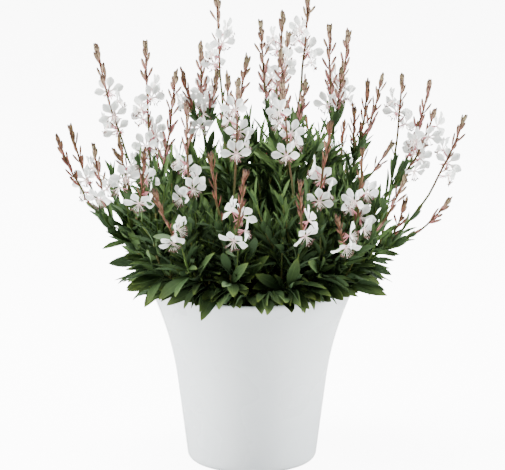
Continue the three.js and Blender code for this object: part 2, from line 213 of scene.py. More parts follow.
def leavesOn(curve, stations, habit, taken, draw):
    # leaves spiral up the stem, and each turns aside a little to where it has the most room
    turn = draw(0, 360)
    leaves = []
    for i, share in enumerate(evenShares(habit["count"])):
        t = mix(habit["from"], habit["to"], share)
        axis = curve.heading(t)
        pitch = mix(*habit["pitches"], share) + draw(-9, 9)
        length = mix(*habit["lengths"], share) * draw(0.88, 1.12)
        size = leafSize(length, (0.24, 0.29), (0.06, 0.24), draw)
        root = curve.onRod(stations, t)
        best = None
        for aside in (0, 30, -30, 60, -60):
            leaf = leafChoice(root, axis, outward(axis, turn + goldenTurn * i + aside), pitch, size)
            leaf["spine"] = [onSpine(leaf, s) for s in (0.35, 0.55, 0.75, 1)]
            others = np.array(taken)
            leaf["room"] = min(np.linalg.norm(others - point, axis=1).min() for point in leaf["spine"])
            if best is None or leaf["room"] > best["room"]:
                best = leaf
        taken.extend(best["spine"])
        best["root"] = curve.at(t)
        leaves.append(best)
    return leaves


def growRacemes(racemes, knot):
    spikes = []
    for x, y, z, blooms, *bloomsAt in racemes:
        tip = np.array((x, y, z), float)
        chord = tip - knot
        curve = Bow(knot, knot + chord * (0.66, 0.66, 0.36), tip)
        path = [curve.at(share) for share in evenShares(plantHabit["pathSteps"] + 1)]
        spikes.append({
            "curve": curve, "path": path, "length": curve.length, "blooms": blooms,
            "bloomsAt": bloomsAt[0] if bloomsAt else 0, "flowers": [],
        })
    return spikes


def flowersOn(spike, bearing, jitter):
    flowers = []
    stalk = plantHabit["bloomStalk"]
    for i in range(spike["blooms"]):
        step = (i - (spike["blooms"] - 1) / 2) * plantHabit["bloomSpacing"]
        t = spike["bloomsAt"] + step / spike["length"]
        axis = spike["curve"].heading(t)
        facing = outward(axis, bearing + plantHabit["bloomTurn"] * i + jitter[i])
        root = spike["curve"].onRod(plantHabit["racemeStations"], t)
        middle = root + facing * stalk * plantHabit["stalkOut"] + axis * stalk * plantHabit["stalkUp"]
        flowers.append({"t": t, "axis": axis, "facing": facing, "middle": middle})
    return flowers


def turnFlowers(spike, spikes, draw):
    # a raceme's flowers turn together to where they have the most room, and rather outwards
    jitter = [draw(-1.5, 1.5) for _ in range(spike["blooms"])]
    start = draw(0, 30)
    out = azimuthOf(spike["path"][plantHabit["pathSteps"] // 2])
    others = [other for other in spikes if other is not spike]
    paths = np.array([point for other in others for point in other["path"]])
    hearts = [flower["middle"] for other in others for flower in other["flowers"]]
    best = -math.inf
    for bearing in (start + 30 * step for step in range(12)):
        flowers = flowersOn(spike, bearing, jitter)
        room = 30
        for flower in flowers:
            heart = flower["middle"] + flower["axis"] * 4
            room = min(room, np.linalg.norm(paths - heart, axis=1).min() - 12)
            if hearts:
                room = min(room, np.linalg.norm(np.array(hearts) - flower["middle"], axis=1).min() - 24)
        score = room + 6 * math.cos(math.radians(bearing - out))
        if score > best:
            best = score
            spike["flowers"] = flowers


def budsOn(spike, draw):
    last = spike["flowers"][-1] if spike["flowers"] else None
    first = last["t"] + 8 / spike["length"] if last else 0.36
    chord = spike["curve"].end - spike["curve"].start
    turn = (90 if abs(chord[0]) > abs(chord[1]) else 0) + 60 + 120 * math.floor(draw(0, 3))
    buds = []
    for i, share in enumerate(evenShares(3 if last else 4)):
        t = mix(first, 0.9, share ** 0.85)
        axis = spike["curve"].heading(t)
        side = outward(axis, turn + 120 * i + draw(-8, 8))
        buds.append({
            "root": spike["curve"].at(t), "axis": axis, "side": side, "t": t,
            "pitch": mix(24, 30, share), "length": mix(12.5, 9.5, share) * draw(0.92, 1.08),
        })
    spike["firstBud"] = first
    return buds


# the layout's leaves on a main stem, a side shoot and a low shoot
leafHabits = [
    {"count": 9, "from": 0.17, "to": 0.96, "lengths": (46, 28), "pitches": (74, 30)},
    {"count": 6, "from": 0.3, "to": 0.96, "lengths": (42, 28), "pitches": (54, 24)},
    {"count": 5, "from": 0.3, "to": 0.95, "lengths": (46, 44), "pitches": (74, 24)},
]


def growPlant():
    forks = [np.array(fork, float) for fork, _ in sprays]
    ranked = sorted(azimuthOf(fork) for fork in forks)
    plant = []
    for index, (_, racemes) in enumerate(sprays):
        draw = makeDraw(index + 1)
        azimuth = azimuthOf(forks[index])
        even = -160 + (360 / len(sprays)) * ranked.index(azimuth)
        main, shoots = growStem(forks[index], mix(azimuth, even, 0.5), draw)
        knot = forks[index] + main.heading(1) * plantHabit["knotRise"]
        plant.append({
            "main": main, "shoots": shoots, "knot": knot, "spikes": growRacemes(racemes, knot), "draw": draw,
            "even": even,
        })
    spikes = [spike for spray in plant for spike in spray["spikes"]]
    for spray in plant:
        for spike in spray["spikes"]:
            if spike["blooms"]:
                turnFlowers(spike, spikes, spray["draw"])
            spike["buds"] = budsOn(spike, spray["draw"])
    taken = []
    for spike in spikes:
        taken += [*spike["path"], *(flower["middle"] for flower in spike["flowers"])]
    for spray in plant:
        for curve in (spray["main"], *spray["shoots"]):
            taken += [curve.at(share) for share in evenShares(plantHabit["pathSteps"] + 1)[1:-1]]
    for spray in plant:
        spray["leaves"] = []
        for k, curve in enumerate((spray["main"], *spray["shoots"])):
            stations = plantHabit["shootStations" if k else "stemStations"]
            spray["leaves"] += leavesOn(curve, stations, leafHabits[k], taken, spray["draw"])
    return plant


plant = growPlant()
print("plant laid out:", sum(len(spray["leaves"]) for spray in plant), "leaves of the solids' layout")


# Shapes that are modelled once and copied many times

def meshOf(bm, name):
    for face in bm.faces:
        face.smooth = True
    mesh = bpy.data.meshes.new(name)
    bm.to_mesh(mesh)
    bm.free()
    return mesh


def keepShape(bm, name, sharpAngle=50):
    for edge in bm.edges:
        edge.smooth = edge.calc_face_angle(0) < math.radians(sharpAngle)
    mesh = meshOf(bm, name)
    count = len(mesh.vertices)
    points = np.empty(count * 3, np.float32)
    mesh.vertices.foreach_get("co", points)
    tone = np.empty(count * 4, np.float32)
    mesh.attributes["tone"].data.foreach_get("color", tone)
    return {"mesh": mesh, "points": points.reshape(-1, 3).astype(float), "tone": tone.reshape(-1, 4)}


def addCopy(bm, shape, points, random, height, material=None):
    # tone carries a random share, the height and, from the shape itself, which side is the underside
    mesh = shape["mesh"]
    mesh.vertices.foreach_set("co", points.astype(np.float32).ravel())
    tone = shape["tone"].copy()
    tone[:, 0] = random
    tone[:, 1] = height
    tone[:, 3] = 1
    mesh.attributes["tone"].data.foreach_set("color", tone.ravel())
    if material is not None:
        mesh.polygons.foreach_set("material_index", np.full(len(mesh.polygons), material, np.int32))
    bm.from_mesh(mesh)


def bladeShape(name, blade):
    # a flat strip gets its thickness, then its outline, its fold and its ripple
    bm = bmesh.new()
    uvLayer = bm.loops.layers.uv.new("UVMap")
    toneLayer = bm.verts.layers.float_color.new("tone")
    bmesh.ops.create_grid(bm, x_segments=blade["across"], y_segments=blade["along"], size=0.5)
    bmesh.ops.translate(bm, verts=bm.verts, vec=(0, 0.5, 0))
    bmesh.ops.solidify(bm, geom=bm.faces[:], thickness=blade["thickness"])
    bmesh.ops.recalc_face_normals(bm, faces=bm.faces)
    highest = max(vert.co.z for vert in bm.verts)
    for vert in bm.verts:
        vert[toneLayer] = (0, 0, 0 if vert.co.z > highest - blade["thickness"] / 2 else 1, 1)
    for face in bm.faces:
        for loop in face.loops:
            loop[uvLayer].uv = (loop.vert.co.x + 0.5, loop.vert.co.y)
    for vert in bm.verts:
        x, y, z = vert.co
        # the rows of a blunt blade stand closer together towards its tip
        y = 1 - (1 - y) ** blade["tipward"]
        vert.co.y = y
        half = halfWidth(blade["outline"], y)
        edge = abs(2 * x)
        vert.co.x = 2 * x * half
        ripple = blade["ripple"] * math.sin(y * blade["waves"] * math.pi + (1 if x > 0 else -1)) * edge ** 2
        vert.co.z = z * (0.35 + 0.65 * min(1, half * 3)) + blade["fold"] * edge * half + ripple * half
    return keepShape(bm, name)


def turnedShape(name, profile, sides, lobes=0):
    # a ring grows along y from one station (place, radius) to the next
    bm = bmesh.new()
    uvLayer = bm.loops.layers.uv.new("UVMap")
    bm.verts.layers.float_color.new("tone")
    start, radius = profile[0]
    turn = Matrix.Rotation(math.radians(-90), 4, "X")
    bmesh.ops.create_circle(bm, cap_ends=True, segments=sides, radius=radius, matrix=turn)
    bmesh.ops.translate(bm, verts=bm.verts, vec=(0, start, 0))
    bm.faces.ensure_lookup_table()
    bottom = cap = bm.faces[0]
    for place, girth in profile[1:]:
        grown = bmesh.ops.extrude_face_region(bm, geom=[cap])["geom"]
        if cap is not bottom:
            bmesh.ops.delete(bm, geom=[cap], context="FACES_ONLY")
        cap = next(item for item in grown if isinstance(item, bmesh.types.BMFace))
        bmesh.ops.translate(bm, verts=cap.verts, vec=(0, place - start, 0))
        factor = girth / radius
        centre = Matrix.Translation((0, -place, 0))
        bmesh.ops.scale(bm, verts=cap.verts, vec=(factor, 1, factor), space=centre)
        start, radius = place, girth
    for vert in bm.verts:
        if lobes:
            angle = math.atan2(vert.co.z, vert.co.x)
            swell = 1 + 0.12 * math.cos(lobes * angle)
            vert.co.x *= swell
            vert.co.z *= swell
    bmesh.ops.recalc_face_normals(bm, faces=bm.faces)
    for face in bm.faces:
        for loop in face.loops:
            angle = math.atan2(loop.vert.co.z, loop.vert.co.x)
            loop[uvLayer].uv = (abs(angle) / math.pi, loop.vert.co.y)
    return keepShape(bm, name, 70)


def halfWidth(outline, y):
    # 0.5 where the blade is fullest, and never less than a little at its base and at its tip
    start, fullest, bluntness, base, tip = outline
    power = math.log(0.5) / math.log(fullest)
    swell = 0.5 * math.sin(math.pi * min(1, max(0, (y - start) / (1 - start))) ** power) ** bluntness
    return max(base if y < 0.5 else tip, swell)


blades = {
    "slimLeaf": {
        "across": 2, "along": 5, "thickness": 0.035, "outline": (0, 0.54, 0.74, 0.04, 0.04),
        "fold": 0.42, "ripple": 0.03, "waves": 3, "tipward": 1.4,
    },
    "broadLeaf": {
        "across": 2, "along": 6, "thickness": 0.03, "outline": (0, 0.57, 0.74, 0.05, 0.03),
        "fold": 0.2, "ripple": 0.06, "waves": 4, "tipward": 1.5,
    },
    "petalBlade": {
        "across": 4, "along": 6, "thickness": 0.03, "outline": (0.14, 0.62, 0.8, 0.07, 0.1),
        "fold": 0.32, "ripple": 0.2, "waves": 3, "tipward": 1.5,
    },
    "sepalBlade": {
        "across": 2, "along": 5, "thickness": 0.12, "outline": (0, 0.54, 0.74, 0.04, 0.04),
        "fold": 0.3, "ripple": 0, "waves": 1, "tipward": 1,
    },
}
slimLeaf, broadLeaf, petalBlade, sepalBlade = (bladeShape(name, blade) for name, blade in blades.items())


def rodOf(name, steps, sides, tip=1):
    profile = [(share, mix(1, tip, share)) for share in evenShares(steps + 1)]
    return turnedShape(name, profile, sides)


rodShape = rodOf("rod", 14, 6)
shootShape = rodOf("shoot", 7, 5)
threadShape = rodOf("thread", 4, 4, 0.6)
budProfile = [(0, 0.3), (0.12, 0.34), (0.28, 0.7), (0.5, 0.97), (0.72, 1), (0.9, 0.76), (1, 0.3)]
budShape = turnedShape("bud", budProfile, 6, lobes=2)
tubeShape = turnedShape("tube", [(0, 0.75), (0.2, 0.9), (0.45, 0.62), (0.8, 0.75), (1, 1.1)], 6)
antherShape = turnedShape("anther", [(0, 0.3), (0.2, 0.9), (0.5, 1), (0.8, 0.9), (1, 0.3)], 6)
print("shapes modelled")


def addBlade(bm, shape, leaf, random, height, material):
    # x runs across the blade, y along its arched midline and z out of its upper face
    x, y, z = shape["points"].T[:, :, None]
    twist = leaf.get("twist", 0) * y
    length, width = leaf["length"], leaf["width"]
    across, direction, face = leaf["across"], leaf["direction"], leaf["face"]
    slope = 2 * leaf["arch"] * y
    upright = (face + direction * slope) / np.sqrt(1 + slope * slope)
    midline = leaf["root"] + direction * length * y - face * leaf["arch"] * length * y * y
    sideways = across * np.cos(twist) + upright * np.sin(twist)
    raised = upright * np.cos(twist) - across * np.sin(twist)
    points = midline + sideways * width * x + raised * width * z
    addCopy(bm, shape, points, random, height, material)


def addRod(bm, shape, curve, girths, material, wander=0.0, phase=0.0):
    x, y, z = shape["points"].T[:, :, None]
    plane = np.cross(curve.knee - curve.start, curve.end - curve.knee)
    # a straight curve has no plane of its own
    if np.linalg.norm(plane) < 1e-6:
        plane = np.cross(curve.end - curve.start, (0.3, 1.0, 0.1))
    plane = unit(plane)
    heading = (1 - y) * (curve.knee - curve.start) + y * (curve.end - curve.knee)
    heading = heading / np.linalg.norm(heading, axis=1, keepdims=True)
    side = np.cross(heading, plane)
    girth = girths[0] + (girths[1] - girths[0]) * y
    middle = (1 - y) ** 2 * curve.start + 2 * y * (1 - y) * curve.knee + y * y * curve.end
    sway = wander * np.sin(y * 17 + phase) * np.sin(math.pi * y)
    addCopy(bm, shape, middle + side * (x * girth + sway) + plane * z * girth, 0, 0, material)


# Materials

class Wiring:
    # a node tree with short calls for the nodes that these materials use
    def __init__(self, tree):
        self.tree = tree

    def feed(self, node, inputs):
        for name, value in inputs.items():
            if isinstance(value, bpy.types.NodeSocket):
                self.tree.links.new(value, node.inputs[name])
            else:
                node.inputs[name].default_value = value

    def add(self, kind, inputs=None, **settings):
        node = self.tree.nodes.new(kind)
        for name, value in settings.items():
            setattr(node, name, value)
        self.feed(node, inputs or {})
        return node

    def use(self, group, inputs=None):
        return self.add("ShaderNodeGroup", inputs, node_tree=group).outputs

    def maths(self, operation, first, second=0.0, clamp=False):
        node = self.add("ShaderNodeMath", {0: first, 1: second}, operation=operation, use_clamp=clamp)
        return node.outputs[0]

    def plus(self, first, second, clamp=False):
        return self.maths("ADD", first, second, clamp)

    def minus(self, first, second, clamp=False):
        return self.maths("SUBTRACT", first, second, clamp)

    def times(self, first, second):
        return self.maths("MULTIPLY", first, second)

    def spread(self, value, low, high, start=0.0, end=1.0):
        # start where the value is at its low, end where it is at its high
        ends = {"Value": value, "From Min": low, "From Max": high, "To Min": start, "To Max": end}
        return self.add("ShaderNodeMapRange", ends).outputs["Result"]

    def blend(self, share, first, second):
        # a Mix node takes its colours at sockets 6 and 7 and gives one at 2
        first, second = (
            color if isinstance(color, bpy.types.NodeSocket) else (*color, 1) for color in (first, second)
        )
        return self.add("ShaderNodeMix", {0: share, 6: first, 7: second}, data_type="RGBA").outputs[2]

    def tint(self, base, *layers):
        # each layer is a mask, how much of it counts and its colour
        for mask, amount, color in layers:
            base = self.blend(self.times(mask, amount), base, color)
        return base

    def ramp(self, value, *stops):
        node = self.add("ShaderNodeValToRGB", {"Fac": value})
        elements = node.color_ramp.elements
        while len(elements) < len(stops):
            elements.new(1)
        for element, (place, color) in zip(elements, stops):
            element.position = place
            element.color = (*color, 1)
        return node.outputs["Color"]


class Finish(Wiring):
    # one material and its shader
    def __init__(self, name):
        self.material = bpy.data.materials.new(name)
        self.material.use_nodes = True
        super().__init__(self.material.node_tree)
        self.tree.nodes.clear()
        self.shader = self.add("ShaderNodeBsdfPrincipled")
        self.add("ShaderNodeOutputMaterial", {"Surface": self.shader.outputs["BSDF"]})

    def mask(self, scale, low=0.3, high=0.7, detail=3.0):
        return self.use(mottle, {"Scale": scale, "Detail": detail, "Low": low, "High": high})["Mask"]

    def done(self, base, roughness, relief, bump, gloss=0.5):
        # roughness is its base, the mask that changes it and by how much; bump is its strength and depth
        plain, mask, change = roughness
        height = {"Height": relief, "Strength": bump[0], "Distance": bump[1]}
        self.feed(self.shader, {
            "Base Color": base, "Roughness": self.plus(plain, self.times(mask, change)),
            "Specular IOR Level": gloss, "Normal": self.add("ShaderNodeBump", height).outputs["Normal"],
        })
        return self.material


def newGroup(name, inputs, outputs):
    wires = Wiring(bpy.data.node_groups.new(name, "ShaderNodeTree"))
    sockets = wires.tree.interface
    for label, value in inputs.items():
        sockets.new_socket(label, in_out="INPUT", socket_type="NodeSocketFloat").default_value = value
    for label in outputs:
        sockets.new_socket(label, in_out="OUTPUT", socket_type="NodeSocketFloat")
    return wires, wires.add("NodeGroupInput").outputs, wires.add("NodeGroupOutput")


def buildCopyTone():
    # what each copy carries: a random share, its height in the plant (on leaves raised at the plant's sides
    # to paint light there) and its underside
    wires, _, result = newGroup("copyTone", {}, ("Random", "Height", "Underside"))
    tone = wires.add("ShaderNodeAttribute", attribute_name="tone").outputs["Color"]
    parts = wires.add("ShaderNodeSeparateColor", {"Color": tone}).outputs
    wires.feed(result, {"Random": parts["Red"], "Height": parts["Green"], "Underside": parts["Blue"]})
    return wires.tree


def buildMottle():
    usual = {"Scale": 80.0, "Detail": 3.0, "Low": 0.35, "High": 0.65}
    wires, given, result = newGroup("mottle", usual, ("Mask",))
    place = wires.add("ShaderNodeTexCoord").outputs["Object"]
    fineness = {"Vector": place, "Scale": given["Scale"], "Detail": given["Detail"]}
    grain = wires.add("ShaderNodeTexNoise", fineness).outputs["Fac"]
    wires.feed(result, {"Mask": wires.spread(grain, given["Low"], given["High"])})
    return wires.tree


def buildVeins():
    # a midrib and side veins that run forwards from it, in a blade's own UV map
    usual = {"Pairs": 9.0, "Forward": 0.5, "Rib": 0.05}
    wires, given, result = newGroup("veins", usual, ("Midrib", "Veins", "Along", "Around"))
    place = wires.add("ShaderNodeUVMap", uv_map="UVMap").outputs["UV"]
    parts = wires.add("ShaderNodeSeparateXYZ", {"Vector": place}).outputs
    aside = wires.maths("ABSOLUTE", wires.minus(parts["X"], 0.5))
    slant = wires.minus(parts["Y"], wires.times(aside, given["Forward"]))
    wave = wires.maths("PINGPONG", wires.times(slant, given["Pairs"]), 0.5)
    wires.feed(result, {
        "Midrib": wires.spread(aside, 0.0, given["Rib"], 1.0, 0.0),
        "Veins": wires.spread(wave, 0.0, 0.12, 1.0, 0.0),
        "Along": parts["Y"],
        "Around": parts["X"],
    })
    return wires.tree


copyTone = buildCopyTone()
mottle = buildMottle()
veins = buildVeins()

leafFinish = {
    "deep": (0.005, 0.012, 0.004),
    "mid": (0.016, 0.037, 0.013),
    # the green of the mottle spots, and painted light on higher leaves
    "mottleAndLit": (0.090, 0.160, 0.044),
    # the light olive of low leaves' tips: painted light
    "tip": (0.112, 0.152, 0.020),
    "rib": (0.060, 0.104, 0.032),
    "pale": (0.084, 0.128, 0.070),
    "under": (0.034, 0.064, 0.028),
    "roughness": 0.58,
    "gloss": 0.12,
}


def makeLeaf():
    look = Finish("leafGreen")
    colors = leafFinish
    tone = look.use(copyTone)
    vein = look.use(veins, {"Pairs": 11.0, "Forward": 0.7})
    spots = look.mask(140)
    base = look.blend(tone["Random"], colors["deep"], colors["mid"])
    # leaves are painted lighter the higher they stand and at the plant's sides, darker low down: painted
    # light and shade; the spots add random mottle
    base = look.tint(base, (tone["Height"], 0.75, colors["mottleAndLit"]), (spots, 0.12, colors["mottleAndLit"]))
    base = look.blend(look.spread(tone["Random"], 0.84, 1.0, 0.0, 0.8), base, colors["pale"])
    # low leaves get light olive tips, where light reaches them past the shaded foliage above: painted light
    litTipShare = look.times(look.maths("POWER", vein["Along"], 4.0), 0.6)
    lowShare = look.minus(1.0, tone["Height"], clamp=True)
    base = look.tint(base, (litTipShare, lowShare, colors["tip"]), (vein["Veins"], 0.14, colors["rib"]),
                     (vein["Midrib"], 0.4, colors["rib"]), (tone["Underside"], 0.7, colors["under"]))
    relief = look.minus(spots, look.plus(vein["Veins"], vein["Midrib"]))
    return look.done(base, (colors["roughness"], spots, 0.16), relief, (0.4, 0.0002), colors["gloss"])


stemFinish = {"low": (0.045, 0.09, 0.018), "high": (0.09, 0.15, 0.03), "flush": (0.10, 0.045, 0.02)}


def makeStem():
    look = Finish("stemGreen")
    grain = look.mask(900)
    base = look.blend(look.use(veins)["Along"], stemFinish["low"], stemFinish["high"])
    base = look.tint(base, (look.mask(60, 0.45, 0.6), 0.5, stemFinish["flush"]))
    return look.done(base, (0.5, grain, 0.2), grain, (0.3, 0.0001), 0.25)


racemeFinish = {"low": (0.035, 0.060, 0.010), "middle": (0.065, 0.036, 0.013), "high": (0.095, 0.030, 0.017)}


def makeRaceme():
    look = Finish("racemeRusset")
    grain = look.mask(700)
    low, middle, high = racemeFinish.values()
    base = look.ramp(look.use(veins)["Along"], (0.0, low), (0.3, low), (0.6, middle), (1.0, high))
    base = look.tint(base, (look.mask(90, 0.4, 0.65), 0.4, low))
    return look.done(base, (0.55, grain, 0.25), grain, (0.35, 0.0001), 0.2)


budFinishes = {
    "budSalmon": {"base": (0.51, 0.19, 0.195), "body": (0.385, 0.232, 0.165), "olive": (0.36, 0.31, 0.17),
                  "seam": (0.095, 0.025, 0.024), "brown": (0.055, 0.037, 0.017), "tip": (0.024, 0.019, 0.01)},
    # a darker, browner copy of the bud colours, for racemes in among the foliage: its darkness is painted
    # shade
    "budBrownShaded": {"base": (0.30, 0.085, 0.066), "body": (0.22, 0.105, 0.054), "olive": (0.22, 0.155, 0.066),
                 "seam": (0.06, 0.016, 0.013), "brown": (0.037, 0.022, 0.010), "tip": (0.018, 0.013, 0.007)},
}


def makeBud(name):
    look = Finish(name)
    start, body, olive, seam, brown, tip = budFinishes[name].values()
    tone = look.use(copyTone)
    vein = look.use(veins)
    grain = look.mask(800)
    warmBud = look.ramp(vein["Along"], (0.0, start), (0.35, start), (0.7, body), (0.92, tip))
    oliveBud = look.ramp(vein["Along"], (0.0, body), (0.45, olive), (0.72, olive), (0.86, tip))
    aged = look.minus(look.times(tone["Height"], 1.6), 0.96)
    share = look.plus(aged, look.times(tone["Random"], 0.5), clamp=True)
    dark = look.blend(share, seam, brown)
    wave = look.maths("PINGPONG", look.times(vein["Around"], 2.0), 0.5)
    base = look.blend(look.spread(wave, 0.0, 0.4, 1.0, 0.0), look.blend(share, warmBud, oliveBud), dark)
    dim = look.maths("POWER", look.maths("PINGPONG", look.times(tone["Random"], 7.0), 1.0), 2.0)
    base = look.tint(base, (dim, 0.55, dark), (grain, 0.3, dark))
    return look.done(base, (0.55, grain, 0.2), grain, (0.3, 0.0001), 0.25)


petalFinish = {"white": (0.92, 0.96, 0.89), "shade": (0.60, 0.66, 0.63), "claw": (0.74, 0.50, 0.46),
               "vein": (0.64, 0.66, 0.68)}


def makePetal():
    look = Finish("petalWhite")
    white, shade, claw, veinTone = petalFinish.values()
    vein = look.use(veins, {"Pairs": 7.0, "Forward": 1.6, "Rib": 0.06})
    cloud = look.mask(160, 0.35)
    # petals are painted grey-blue down the middle and white towards their edges: painted shade
    aside = look.maths("ABSOLUTE", look.minus(vein["Around"], 0.5))
    base = look.blend(look.spread(aside, 0.12, 0.42, 0.8, 0.0), white, shade)
    base = look.tint(base, (cloud, 0.2, shade), (vein["Veins"], 0.2, veinTone),
                     (look.use(copyTone)["Random"], 0.05, claw))
    base = look.blend(look.spread(vein["Along"], 0.1, 0.3, 0.85, 0.0), base, claw)
    soft = {"Subsurface Weight": 0.5, "Subsurface Radius": (1, 1, 1), "Subsurface Scale": 0.002}
    look.feed(look.shader, soft)
    return look.done(base, (0.5, cloud, 0.15), vein["Veins"], (0.25, 0.0001))


smallFinishes = {
    "sepalPink": {"start": (0.42, 0.095, 0.125), "end": (0.60, 0.29, 0.30), "roughness": 0.5},
    "filamentCream": {"start": (0.82, 0.66, 0.60), "end": (0.86, 0.82, 0.74), "roughness": 0.55},
    "antherBrown": {"start": (0.07, 0.045, 0.035), "end": (0.14, 0.08, 0.06), "roughness": 0.8},
}


def makeSmall(name):
    look = Finish(name)
    start, end, roughness = smallFinishes[name].values()
    grain = look.mask(900)
    share = look.plus(look.times(look.use(veins)["Along"], 0.7), look.times(grain, 0.3))
    return look.done(look.blend(share, start, end), (roughness, grain, 0.15), grain, (0.3, 0.0001))


leafGreen = makeLeaf()
stemGreen = makeStem()
racemeRusset = makeRaceme()
budSalmon, budBrownShaded = (makeBud(name) for name in budFinishes)
petalWhite = makePetal()
sepalPink, filamentCream, antherBrown = (makeSmall(name) for name in smallFinishes)
print("materials made")


def addObject(name, data):
    thing = bpy.data.objects.new(name, data)
    bpy.context.scene.collection.objects.link(thing)
    return thing


def finishPiece(bm, name, materials, node):
    mesh = meshOf(bm, name)
    mesh.transform(Matrix.Scale(metresPerMillimetre, 4))
    for material in materials:
        mesh.materials.append(material)
    piece = addObject(name, mesh)
    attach(piece, "root")
    if node:
        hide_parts(node)


# The pot

potForm = {
    "height": 171.5,
    "baseRadius": 60.6,
    "taper": 0.126,
    "flareFrom": 78,
    "flare": 0.0018,
    "wall": 3.2,
    "floor": 5,
    "footRound": 7,
    "rimRound": 1.5,
    "lipDepth": 5,
    "lipSwell": 0.75,
    "steps": 96,
    "colors": ((0.635, 0.675, 0.683), (0.605, 0.65, 0.665)),
}


def makePlastic():
    look = Finish("potWhite")
    cloud = look.mask(14, 0.35, 0.65)
    base = look.blend(cloud, *potForm["colors"])
    return look.done(base, (0.24, cloud, 0.08), look.mask(420, detail=1.0), (0.08, 0.0001))


def potRadius(z):
    rise = np.maximum(0, z - potForm["flareFrom"])
    return potForm["baseRadius"] + potForm["taper"] * z + potForm["flare"] * rise ** 2


def spinProfile(bm, profile, steps):
    # a line of points turned round the middle
    verts = [bm.verts.new((radius, 0, z)) for radius, z in profile]
    edges = [bm.edges.new(pair) for pair in zip(verts, verts[1:])]
    bmesh.ops.spin(bm, geom=verts + edges, cent=(0, 0, 0), axis=(0, 0, 1), dvec=(0, 0, 0),
                   angle=math.tau, steps=steps, use_merge=True, use_normal_flip=False, use_duplicate=False)
    bmesh.ops.remove_doubles(bm, verts=bm.verts, dist=0.01)
    bmesh.ops.recalc_face_normals(bm, faces=bm.faces)


def makePot():
    form = potForm
    profile = [(0, 0), (form["baseRadius"] - form["footRound"], 0)]
    for i in range(1, 6):
        angle = math.pi / 2 * i / 6
        profile.append((potRadius(form["footRound"]) - form["footRound"] * (1 - math.sin(angle)),
                        form["footRound"] * (1 - math.cos(angle))))
    rimStart = form["height"] - form["rimRound"]
    lipStart = rimStart - form["lipDepth"]
    profile += [(potRadius(z), z) for z in np.linspace(form["footRound"] + 1, lipStart - 0.6, 26)]
    for share in (0, 0.15, 0.35, 0.6, 0.85):
        swell = form["lipSwell"] * math.sin(math.pi * (0.15 + share * 0.85)) ** 0.6
        profile.append((potRadius(mix(lipStart, rimStart, share)) + swell, mix(lipStart, rimStart, share)))
    profile.append((potRadius(rimStart), rimStart))
    wall = form["wall"]
    for i in range(1, 8):
        angle = math.pi * i / 8
        profile.append((potRadius(rimStart) - wall / 2 + wall / 2 * math.cos(angle),
                        rimStart + form["rimRound"] * math.sin(angle)))
    profile += [(potRadius(z) - wall, z) for z in np.linspace(rimStart, form["floor"] + 6, 16)]
    profile += [(potRadius(form["floor"]) - wall - 2, form["floor"] + 1.5),
                (potRadius(form["floor"]) - wall - 6, form["floor"]), (0, form["floor"])]
    bm = bmesh.new()
    spinProfile(bm, profile, form["steps"])
    finishPiece(bm, "potShell", [makePlastic()], "pot")


makePot()
print("pot built")


# The soil

soilForm = {
    "gap": 0.5,
    "steps": 84,
    "rings": 18,
    "lumps": 2.2,
    "crumbs": 260,
    "crumbSize": (0.9, 2.6),
    "colors": ((0.022, 0.014, 0.010), (0.075, 0.048, 0.032), (0.17, 0.11, 0.07)),
}


def makeSoil():
    look = Finish("pottingSoil")
    dark, light, fibreTone = soilForm["colors"]
    lump = look.mask(90, detail=8.0)
    fibre = look.mask(600, 0.5, 0.72, 4.0)
    base = look.tint(look.blend(lump, dark, light), (fibre, 0.5, fibreTone))
    return look.done(base, (0.98, lump, -0.15), look.plus(lump, fibre), (0.8, 0.001))


def soilEdge(z):
    return potRadius(z) - potForm["wall"] - soilForm["gap"]


def soilHeight(radius):
    # the plain mound of the solid, before its lumps
    top = plantHabit["soilTop"]
    places = [0, 28, 62, soilEdge(top - 4)]
    return float(np.interp(radius, places, [top + 4, top + 3.2, top - 1, top - 4]))


def lumpAt(place):
    return soilForm["lumps"] * noise.fractal(Vector(place) * 0.11, 0.9, 2.1, 4)


def makeSoilFill():
    edge = soilEdge(plantHabit["soilTop"] - 4)
    floor = potForm["floor"] + soilForm["gap"]
    profile = [(0, floor), (soilEdge(floor) - 6, floor)]
    profile += [(soilEdge(z), z) for z in (floor + 6, 40, 78, 100, 116, 134, plantHabit["soilTop"] - 4)]
    profile += [(radius, soilHeight(radius)) for radius in np.linspace(edge, 0, soilForm["rings"])[1:]]
    bm = bmesh.new()
    spinProfile(bm, profile, soilForm["steps"])
    for vert in bm.verts:
        radius = math.hypot(vert.co.x, vert.co.y)
        if vert.co.z > plantHabit["soilTop"] - 3.9 and radius < edge - 1:
            vert.co.z += lumpAt(vert.co)
    draw = makeDraw(seeds["soil"])
    for _ in range(soilForm["crumbs"]):
        radius = (edge - 4) * math.sqrt(draw(0, 1))
        angle = draw(0, math.tau)
        size = draw(*soilForm["crumbSize"])
        place = Vector((radius * math.cos(angle), radius * math.sin(angle), soilHeight(radius)))
        place.z += lumpAt(place)
        turn = Matrix.Rotation(draw(0, math.tau), 4, (draw(-1, 1), draw(-1, 1), 1.1))
        squash = Matrix.Diagonal((draw(0.7, 1.3), draw(0.7, 1.2), draw(0.5, 0.9), 1))
        bmesh.ops.create_icosphere(bm, subdivisions=1, radius=size,
                                   matrix=Matrix.Translation(place) @ turn @ squash)
    finishPiece(bm, "soilFill", [makeSoil()], "soil")


makeSoilFill()
print("soil built")


# Leafy stems

